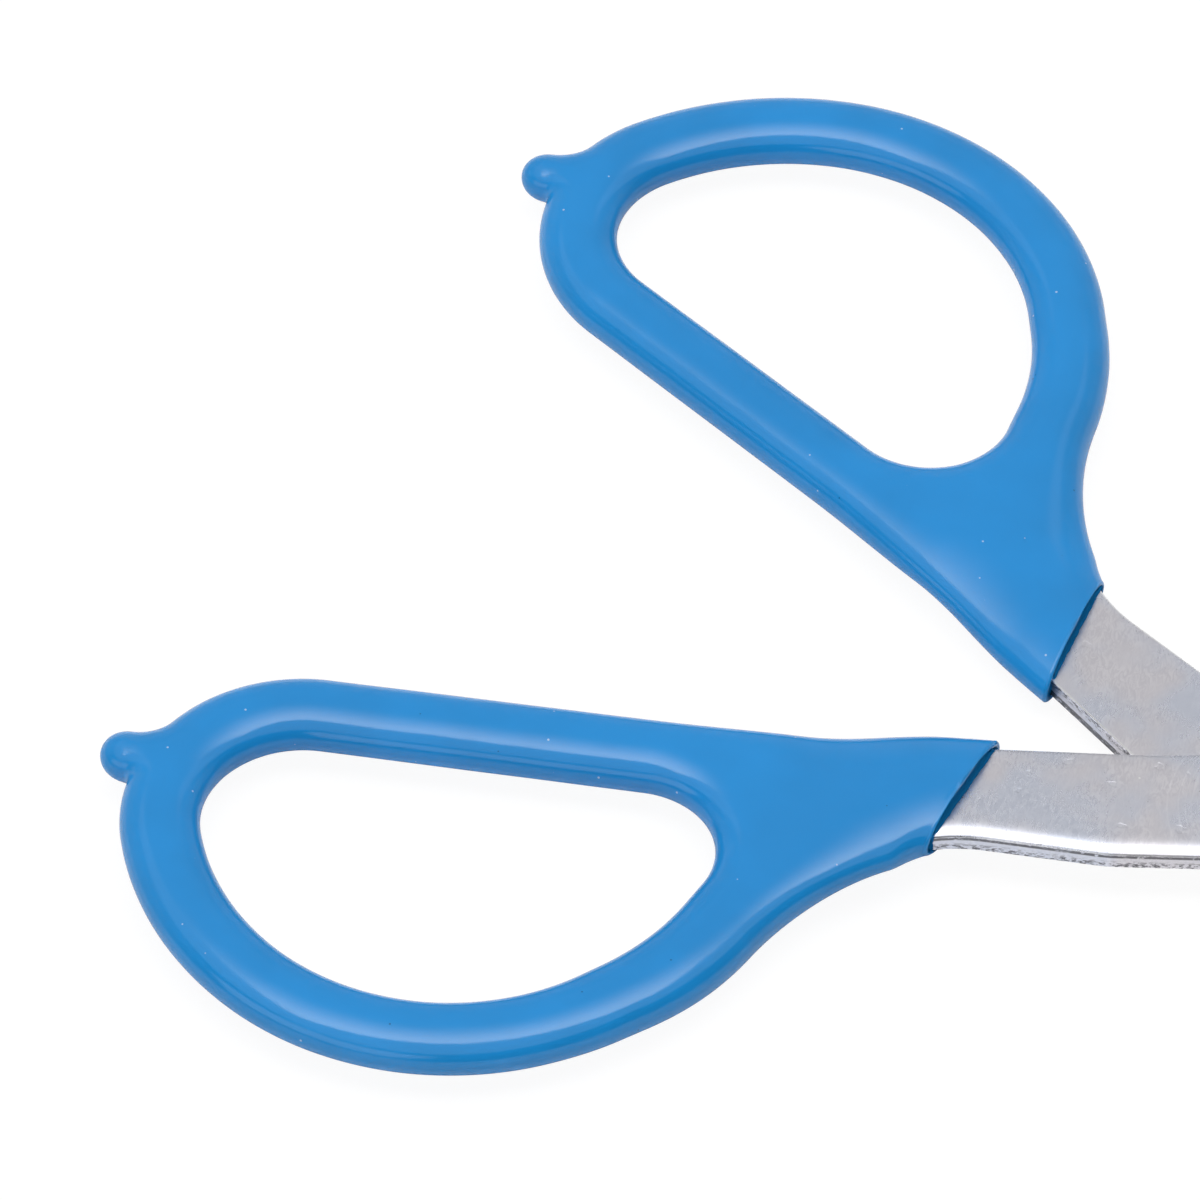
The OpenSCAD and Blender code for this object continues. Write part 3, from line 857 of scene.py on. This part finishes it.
def washer_mesh(bore, rim, low, high, dish, corner):
    """A washer: its rounded section turned about the axis, with the rim lifted above the bore by the dish."""
    corners = np.array([[bore, low], [bore, high - dish], [rim, high], [rim, low + dish]])
    section, _, _ = rounded_walk(np.column_stack([corners, np.full(4, corner)]), 0.3 * corner)
    points, faces = revolve(*section.T, WASHER_COLUMNS)
    return points, faces[:, ::-1].tolist()


def nut_mesh(sizes):
    """A hexagon nut: its section carried round the axis, with the corners chamfered by a cone.

    The side stands at r = (width / 2) / cos(angle from the flat's middle), and a cone of 30 degrees takes
    the corners.
    """
    flats, bore = (NUT_HIGH.y - NUT_LOW.y) / 2, sizes.thread / 2 + 0.03 * MM
    low, high = NUT_LOW.z, NUT_HIGH.z
    wide, deep = 0.25 * MM, 0.22 * MM
    angle = np.linspace(0, 2 * np.pi, NUT_COLUMNS, endpoint=False)
    side = flats / np.cos(angle % (np.pi / 3) - np.pi / 6)
    ring = 0.97 * flats
    drop = (side - ring) * math.tan(math.radians(30))
    section = [(bore, low + deep), (bore, high - deep), (bore + wide, high), (ring, high),
               (side, high - drop), (side, low + drop), (ring, low), (bore + wide, low)]
    flat = np.stack([np.cos(angle), np.sin(angle)])
    points = np.array([[*(r * flat), z + 0 * angle] for r, z in section]).transpose(0, 2, 1)
    return points.reshape(-1, 3), grid_faces(len(section), NUT_COLUMNS)[:, ::-1].tolist()


# Finishes

WHITE = (1, 1, 1, 1)


class Tap:
    """A shader socket that takes part in arithmetic. Each sum or product adds a Math node."""

    def __init__(self, finish, socket):
        self.finish, self.socket = finish, socket

    def maths(self, operation, a, b=0.0):
        return self.finish.node("ShaderNodeMath", {"operation": operation}, {0: a, 1: b})

    def __add__(self, other):
        return self.maths("ADD", self, other)

    def __radd__(self, other):
        return self.maths("ADD", other, self)

    def __sub__(self, other):
        return self.maths("SUBTRACT", self, other)

    def __rsub__(self, other):
        return self.maths("SUBTRACT", other, self)

    def __mul__(self, other):
        return self.maths("MULTIPLY", self, other)

    def __rmul__(self, other):
        return self.maths("MULTIPLY", other, self)

    def __lt__(self, other):
        return self.maths("LESS_THAN", self, other)

    def most(self, other):
        return self.maths("MAXIMUM", self, other)

    def root(self):
        return self.maths("SQRT", self)

    def ease(self, low, high):
        """0 below low, 1 above high, and a soft step between them."""
        return self.finish.node("ShaderNodeMapRange", {"interpolation_type": "SMOOTHSTEP"},
                                {"Value": self, "From Min": low, "From Max": high})


class Finish:
    """The nodes of a material or a world. node() adds any node, and the others name the ones used often."""

    def __init__(self, owner):
        self.owner = owner
        owner.use_nodes = True
        self.tree = owner.node_tree
        self.tree.nodes.clear()

    def node(self, kind, settings, sockets, output=0):
        """A node of one type, with its settings set first, then its sockets' values or links."""
        made = self.tree.nodes.new(kind)
        for key, value in settings.items():
            setattr(made, key, value)
        for key, value in sockets.items():
            if isinstance(value, Tap):
                self.tree.links.new(value.socket, made.inputs[key])
            else:
                made.inputs[key].default_value = value
        return Tap(self, made.outputs[output]) if made.outputs else None

    def place(self, scale=(1, 1, 1), angle=0.0):
        """The piece's own coordinates in millimetres, turned about Z and packed closer along each axis."""
        here = self.node("ShaderNodeTexCoord", {}, {}, "Object")
        return self.node("ShaderNodeMapping", {"vector_type": "TEXTURE"}, {
            "Vector": here, "Rotation": (0, 0, angle), "Scale": tuple(MM / s for s in scale)})

    def from_axis(self, place):
        """Distance from the Z axis."""
        x, y = (self.node("ShaderNodeSeparateXYZ", {}, {0: place}, axis) for axis in "XY")
        return (x * x + y * y).root()

    def kept(self, name):
        """A number that was noted on the piece's points."""
        settings = {"attribute_type": "GEOMETRY", "attribute_name": name}
        return self.node("ShaderNodeAttribute", settings, {}, "Fac")

    def ray(self, kind):
        """1 for rays of one kind, and 0 for the others."""
        return self.node("ShaderNodeLightPath", {}, {}, f"Is {kind} Ray")

    def noise(self, vector, scale, detail=2.0, rough=0.5, twist=0.0, output="Fac"):
        return self.node("ShaderNodeTexNoise", {}, {
            "Vector": vector, "Scale": scale, "Detail": detail, "Roughness": rough,
            "Distortion": twist}, output)

    def rings(self, far, scale, detail):
        """Noise along a distance only, which makes rings."""
        return self.node("ShaderNodeTexNoise", {"noise_dimensions": "1D"},
                         {"W": far, "Scale": scale, "Detail": detail})

    def warped(self, place, scale):
        """Coordinates pushed about, so that round spots become ragged."""
        push = self.noise(place, scale, output="Color")
        return self.node("ShaderNodeVectorMath", {"operation": "ADD"}, {0: place, 1: push})

    def specks(self, vector, scale, size, share):
        """Small spots, one in each cell that the dice picks: 1 on a spot and 0 elsewhere."""
        cells = {"Vector": vector, "Scale": scale}
        near, pick = (self.node("ShaderNodeTexVoronoi", {}, cells, kind) for kind in ("Distance", "Color"))
        dice = self.node("ShaderNodeSeparateColor", {}, {0: pick}, "Red")
        return (1 - near.ease(size * 0.6, size)) * (dice < share)

    def blend(self, share, a, b):
        """Colour a where the share is 0, and colour b where it is 1."""
        return self.node("ShaderNodeMix", {"data_type": "RGBA"}, {0: share, 6: a, 7: b}, 2)

    def bump(self, height, distance, strength, under=None):
        sockets = {"Height": height, "Distance": distance, "Strength": strength}
        if under is not None:
            sockets["Normal"] = under
        return self.node("ShaderNodeBump", {}, sockets)

    def metal(self, tone, rough, normal):
        return self.node("ShaderNodeBsdfPrincipled", {}, {
            "Base Color": tone, "Metallic": 1.0, "Roughness": rough, "Normal": normal})

    def dull(self, tone):
        return self.node("ShaderNodeBsdfDiffuse", {}, {"Color": tone})

    def glow(self, tone, strength):
        return self.node("ShaderNodeEmission", {}, {"Color": tone, "Strength": strength})

    def mix(self, share, a, b):
        """Shader a where the share is 0, and shader b where it is 1."""
        return self.node("ShaderNodeMixShader", {}, {0: share, 1: a, 2: b})

    def close(self, shader, output="ShaderNodeOutputMaterial"):
        self.node(output, {}, {"Surface": shader})
        return self.owner


def material(name):
    """The nodes of a new material, still empty."""
    return Finish(bpy.data.materials.new(name))


def shade(colour, factor):
    """A colour made lighter or darker, with full alpha."""
    return (*[min(1.0, c * factor) for c in colour], 1.0)


def plastic_finish(colour):
    """Dipped soft plastic: glossy, faintly uneven in tone, with a soft skin, dust specks and small dark
    specks.

    The hollow and the film at the mouth are dull, with painted shade: a diffuse blue at half the colour.
    """
    f = material("dipped_plastic")
    place = f.place()
    cloud = f.noise(place, scale=0.09, detail=3.0)
    tone = f.blend(cloud.ease(0.3, 0.7), shade(colour, 0.95), shade(colour, 1.05))
    dark_specks = f.specks(place, scale=0.8, size=0.09, share=0.08)
    dust = f.specks(f.place((1.03, 0.98, 1.01), 0.7), scale=0.8, size=0.1, share=0.12)
    # small dark specks at a quarter of the colour
    tone = f.blend(dark_specks * 0.75, tone, shade(colour, 0.25))
    tone = f.blend(dust * 0.55, tone, (0.62, 0.74, 0.86, 1))
    skin = f.noise(place, scale=0.5)
    grain = f.noise(place, scale=5.0, detail=3.0, rough=0.6)
    normal = f.bump(skin, 0.02 * MM, 0.6)
    normal = f.bump(grain, 0.005 * MM, 0.6, normal)
    rough = 0.10 + 0.09 * f.noise(place, scale=0.25, detail=4.0, rough=0.6)
    shader = f.node("ShaderNodeBsdfPrincipled", {}, {
        "Base Color": tone, "Roughness": rough, "IOR": 1.45, "Normal": normal})
    # painted shade: where cut is 1, a dull diffuse blue at half the colour
    return f.close(f.mix(f.kept("cut"), shader, f.dull(shade(colour, 0.5))))


def steel_finish(colour):
    """Bright stamped steel: clouded, tumbled in short curls, with dents, painted glints, a torn edge and a
    painted highlight along its burr.
    """
    f = material("bright_steel")
    place = f.place()
    cloud = f.noise(place, scale=0.16, rough=0.4)
    patch = f.noise(place, scale=0.3).ease(0.42, 0.58)
    curls = f.noise(f.place((0.8, 1.9, 1.0), math.radians(108)), scale=1.15, rough=0.55, twist=1.7)
    strokes = 0.5 + (curls - 0.5) * (0.3 + 0.7 * patch)
    far = f.from_axis(place)
    rubbed = f.rings(far, scale=4.0, detail=4.0).ease(0.56, 0.72) * (1 - far.ease(9.0, 17.0))
    dents = f.specks(f.warped(place, scale=1.4), scale=0.42, size=0.2, share=0.24)
    glints = f.specks(f.place((1.04, 0.97, 1.0), 0.9), scale=0.55, size=0.08, share=0.2)

    # The sheared wall: a painted highlight along the burr at its foot, a torn line at its top and marks low
    # down on it
    wall = f.kept("wall")
    on_wall = wall.ease(-0.2, 0.0)
    burr_highlight = wall.ease(-0.8, -0.55) * (1 - wall.ease(-0.3, -0.1))
    torn = f.noise(f.place((0.8, 0.8, 2.0)), scale=2.4, detail=4.0, rough=0.7)
    line = wall.ease(0.58, 0.63) * torn.ease(0.36, 0.46)
    marks = (1 - wall.ease(0.18, 0.5)) * on_wall * torn.ease(0.48, 0.56)

    red, green, blue = colour
    cool, warm = (red * 0.96, green * 1.01, blue * 1.04), (red * 1.03, green, blue * 0.95)
    tone = f.blend(cloud.ease(0.35, 0.65), shade(cool, 1.0), shade(warm, 1.0))
    darker, paler = f.blend(0.10, tone, shade(colour, 0.4)), f.blend(0.17, tone, WHITE)
    tone = f.blend(strokes.ease(0.36, 0.66), darker, paler)
    tone = f.blend(rubbed * 0.12, tone, shade(colour, 1.4))
    # painted shade: the whole sheared wall made a little darker
    tone = f.blend(on_wall * 0.12, tone, shade(colour, 0.4))
    tone = f.blend(glints * 0.7, tone, WHITE)
    # painted highlight: a white line along the burr at the foot of the sheared wall
    tone = f.blend(burr_highlight * 0.8, tone, WHITE)
    tone = f.blend((line + marks) * 0.85 * on_wall, tone, shade(colour, 0.10))
    height = strokes * 0.5 + cloud * 0.5 - dents * 2.5 - rubbed * 0.2
    normal = f.bump(height, 0.01 * MM, 0.5)
    normal = f.bump(torn * on_wall, 0.05 * MM, 0.5, normal)
    rough = 0.20 + 0.10 * cloud + 0.06 * strokes + 0.05 * rubbed + 0.16 * on_wall
    return f.close(f.metal(tone, rough, normal))


def hardware_finish(colour):
    """Plated screw steel with fine turning rings and a little tarnish."""
    f = material("plated_hardware")
    place = f.place()
    turned = f.rings(f.from_axis(place), scale=9.0, detail=3.0)
    cloud = f.noise(place, scale=0.6, detail=4.0, rough=0.6)
    tone = f.blend(cloud.ease(0.3, 0.75), shade(colour, 0.82), shade(colour, 1.08))
    normal = f.bump(turned + f.noise(place, scale=3.0, detail=3.0) * 0.4, 0.012 * MM, 0.6)
    return f.close(f.metal(tone, 0.24 + 0.18 * cloud, normal))


def floor_finish(colour):
    """Pale floor that the camera sees as almost white, and that still takes the shadow."""
    f = material("pale_floor")
    tone = f.blend(f.noise(f.place(), scale=0.01), shade(colour, 0.995), shade(colour, 1.0))
    lit = f.ray("Camera") * 0.9 + f.ray("Transmission") * 0.9 + f.ray("Glossy") * 0.05
    return f.close(f.mix(lit, f.dull(tone), f.glow(WHITE, 1.04)))


def diffuser_finish(strength, least):
    """White cloth of the overhead light, brightest along its front edge and a dim grey at its back."""
    f = material("diffuser")
    dim = least / strength
    return f.close(f.glow(f.blend(f.kept("fade"), (dim, dim, dim, 1), WHITE), strength))


def flag_finish():
    """Felt of the flags, dark in front and pale behind."""
    f = material("felt")
    dark = f.blend(f.noise(f.place(), scale=0.05, detail=3.0), (0.03, 0.03, 0.03, 1), (0.05, 0.05, 0.05, 1))
    return f.close(f.dull(f.blend(f.kept("pale"), dark, (0.8, 0.8, 0.8, 1))))


def studio_world():
    """White where it is seen or reflected, and dimmer as light."""
    f = Finish(bpy.data.worlds.new("studio"))
    seen = f.ray("Camera").most(f.ray("Transmission")).most(f.ray("Glossy"))
    dim, white = (f.node("ShaderNodeBackground", {}, {"Color": WHITE, "Strength": strength})
                  for strength in (0.36, 1.0))
    return f.close(f.mix(seen, dim, white), "ShaderNodeOutputWorld")


# Operators

UP = Vector((0, 0, 1))
# Where the camera looks, from which side and height, and from how far
AIM = Vector((-63.36, -4.33, 3.95)) * MM
AZIMUTH, ELEVATION = math.radians(27.52), math.radians(48.41)
DISTANCE, SENSOR, LENS, NEAREST, FURTHEST = 0.9074, 36.0, 317.7, 0.01, 50.0
FLOOR_REACH = 4.0
# The front softbox: its side, how far out and how high it stands, its width, height and radiance
SOFTBOX_SIDE, SOFTBOX_OUT, SOFTBOX_UP = math.radians(-14), 1.1, 0.38
SOFTBOX_WIDTH, SOFTBOX_HEIGHT, SOFTBOX_RADIANCE = 1.5, 0.5, 1.45
# The overhead diffuser: its front edge behind the aim, its length, half its width, and how it fades
CLOTH_FRONT, CLOTH_LENGTH, CLOTH_ASIDE, CLOTH_COLUMNS = -0.30, 1.9, 0.6, 40
CLOTH_FADE, CLOTH_POWER, CLOTH_STRENGTH, CLOTH_LEAST = 0.55, 1.6, 5.5, 0.55
# The flags: the ring that they stand on, their lower and upper edges, and where they turn pale
FLAG_RADIUS, FLAG_LOW, FLAG_HIGH, FLAG_COLUMNS = 1.3, 0.02, 0.95, 48
FLAG_PALE_FROM, FLAG_PALE_RUN = -0.35, 0.7


class SCISSORS_OT_steel(Operator):
    """Make the two steel halves"""

    bl_idname = "scissors.steel"
    bl_label = "Steel halves"

    def execute(self, context):
        scene = context.scene
        layout = Layout(scene.scissors_steel, scene.scissors_coat)
        points, faces, wall = steel_half(layout, bore_of(scene.scissors_pivot))
        finish = steel_finish(scene.scissors_finishes.steel)
        for side, name in SIDES.items():
            piece = make_piece(f"{name}_steel", layout.place(points, side), faces)
            note(piece, "wall", wall)
            dress(piece, finish, f"{name}_half", "steel", f"{name}_blade")
        return {"FINISHED"}


class SCISSORS_OT_coats(Operator):
    """Make the two dipped coats"""

    bl_idname = "scissors.coats"
    bl_label = "Dipped coats"

    def execute(self, context):
        scene = context.scene
        layout = Layout(scene.scissors_steel, scene.scissors_coat)
        finish = plastic_finish(scene.scissors_finishes.plastic)
        for side, name in SIDES.items():
            points, faces, cut = coat_shell(layout, side)
            piece = make_piece(f"{name}_coat", layout.place(points, side), faces.tolist(), smooth_below=40.0)
            note(piece, "cut", cut)
            dress(piece, finish, f"{name}_half", "plastic", f"{name}_grip")
        return {"FINISHED"}


class SCISSORS_OT_pivot(Operator):
    """Make the pivot's screw, washers and nut"""

    bl_idname = "scissors.pivot"
    bl_label = "Pivot screw, washers and nut"

    def execute(self, context):
        sizes = context.scene.scissors_pivot
        finish = hardware_finish(context.scene.scissors_finishes.hardware)
        bore, rim = bore_of(sizes), (WASHER_HIGH.x - WASHER_LOW.x) / 2
        flat = washer_mesh(bore, rim, WASHER_LOW.z, WASHER_HIGH.z, dish=0, corner=0.12 * MM)
        dished = washer_mesh(bore, rim, SPRING_LOW.z, SPRING_HIGH.z, dish=0.15 * MM, corner=0.08 * MM)
        screw = make_piece("shoulder_screw", *screw_mesh(sizes))
        dress(screw, finish, "lower_half", "hardware", "pivot_screw")
        dress(make_piece("flat_washer", *flat), finish, "lower_half", "hardware", "head_washer")
        dress(make_piece("dished_washer", *dished), finish, "lower_half", "hardware", "spring_washer")
        nut = make_piece("hexagon_nut", *nut_mesh(sizes), smooth_below=20.0)
        dress(nut, finish, "lower_half", "hardware", "pivot_nut")
        return {"FINISHED"}


def hide_on_set(piece, finish):
    """Puts a finished piece of the set on the stage, where the camera doesn't see it."""
    piece.data.materials.append(finish)
    piece.visible_camera = False


def overhead_diffuser(away):
    """A level cloth over the scissors. From its bright front edge it fades out towards the back."""
    back = np.linspace(0, 1, CLOTH_COLUMNS)
    run = np.array(AIM + UP) + np.array(away) * (CLOTH_FRONT + CLOTH_LENGTH * back)[:, None]
    aside = np.array(away.cross(UP)) * CLOTH_ASIDE
    quads = grid_faces(2, CLOTH_COLUMNS, close_rows=False, close_columns=False)
    cloth = make_piece("overhead_diffuser", np.concatenate([run + aside, run - aside]), quads.tolist())
    note(cloth, "fade", np.tile((1 - smooth(back / CLOTH_FADE)) ** CLOTH_POWER, 2))
    hide_on_set(cloth, diffuser_finish(CLOTH_STRENGTH, CLOTH_LEAST))


def flags(away):
    """Flags all round the set: dark in front, so that the low surroundings reflect dark, and pale behind."""
    angle = np.linspace(0, 2 * np.pi, FLAG_COLUMNS, endpoint=False)
    around = np.stack([np.cos(angle), np.sin(angle)], -1)
    ring = np.array(AIM)[:2] + FLAG_RADIUS * around
    walls = np.concatenate([np.column_stack([ring, np.full(FLAG_COLUMNS, z)]) for z in (FLAG_LOW, FLAG_HIGH)])
    felt = make_piece("flags", walls, grid_faces(2, FLAG_COLUMNS, close_rows=False)[:, ::-1].tolist())
    behind = around @ np.array(away)[:2]
    note(felt, "pale", np.tile(smooth((behind - FLAG_PALE_FROM) / FLAG_PALE_RUN), 2))
    hide_on_set(felt, flag_finish())


class SCISSORS_OT_stage(Operator):
    """Make the floor, the lights and the camera"""

    bl_idname = "scissors.stage"
    bl_label = "Floor, lights and camera"

    def execute(self, context):
        scene = context.scene
        away = Vector((-math.sin(AZIMUTH), math.cos(AZIMUTH), 0))
        towards = UP * math.sin(ELEVATION) - away * math.cos(ELEVATION)

        def stand(name, data, where, look):
            """An object that stands somewhere and looks along a direction."""
            made = bpy.data.objects.new(name, data)
            made.location = where
            made.rotation_euler = look.to_track_quat("-Z", "Y").to_euler()
            scene.collection.objects.link(made)
            return made

        corners = np.array([[-1, -1, 0], [1, -1, 0], [1, 1, 0], [-1, 1, 0]]) * FLOOR_REACH
        floor = make_piece("floor", corners, [[0, 1, 2, 3]])
        floor.data.materials.append(floor_finish(scene.scissors_finishes.floor))

        lamp = bpy.data.lights.new("front_softbox", "AREA")
        lamp.shape, lamp.size, lamp.size_y = "RECTANGLE", SOFTBOX_WIDTH, SOFTBOX_HEIGHT
        lamp.energy = SOFTBOX_RADIANCE * math.pi * SOFTBOX_WIDTH * SOFTBOX_HEIGHT
        front = Vector((math.sin(SOFTBOX_SIDE), -math.cos(SOFTBOX_SIDE), 0))
        offset = UP * SOFTBOX_UP + front * SOFTBOX_OUT
        stand("front_softbox", lamp, AIM + offset, -offset).visible_camera = False
        overhead_diffuser(away)
        flags(away)
        scene.world = studio_world()

        view = bpy.data.cameras.new("camera")
        view.sensor_width, view.lens = SENSOR, LENS
        view.clip_start, view.clip_end = NEAREST, FURTHEST
        scene.camera = stand("camera", view, AIM + towards * DISTANCE, -towards)
        scene.view_settings.view_transform = "Standard"
        return {"FINISHED"}


class SCISSORS_PT_sidebar(Panel):
    """Sizes, colours and the operators, in the sidebar"""

    bl_idname = "SCISSORS_PT_sidebar"
    bl_label = "Office scissors"
    bl_space_type = "VIEW_3D"
    bl_region_type = "UI"
    bl_category = "Scissors"

    def draw(self, context):
        for operator in OPERATORS:
            self.layout.operator(operator.bl_idname)
        for owner in GROUPS:
            group = getattr(context.scene, owner)
            box = self.layout.box()
            for name in group.__annotations__:
                box.prop(group, name)


OPERATORS = (SCISSORS_OT_steel, SCISSORS_OT_coats, SCISSORS_OT_pivot, SCISSORS_OT_stage)
GROUPS = {"scissors_steel": SteelSizes, "scissors_coat": CoatSizes, "scissors_pivot": PivotSizes,
          "scissors_finishes": Finishes}


def register():
    for kind in (*GROUPS.values(), *OPERATORS, SCISSORS_PT_sidebar):
        bpy.utils.register_class(kind)
    for name, group in GROUPS.items():
        setattr(bpy.types.Scene, name, PointerProperty(type=group))


def unregister():
    for name in GROUPS:
        delattr(bpy.types.Scene, name)
    for kind in reversed((*GROUPS.values(), *OPERATORS, SCISSORS_PT_sidebar)):
        bpy.utils.unregister_class(kind)


def main():
    register()
    bpy.ops.scissors.steel()
    bpy.ops.scissors.coats()
    bpy.ops.scissors.pivot()
    bpy.ops.scissors.stage()


if __name__ == "__main__":
    main()
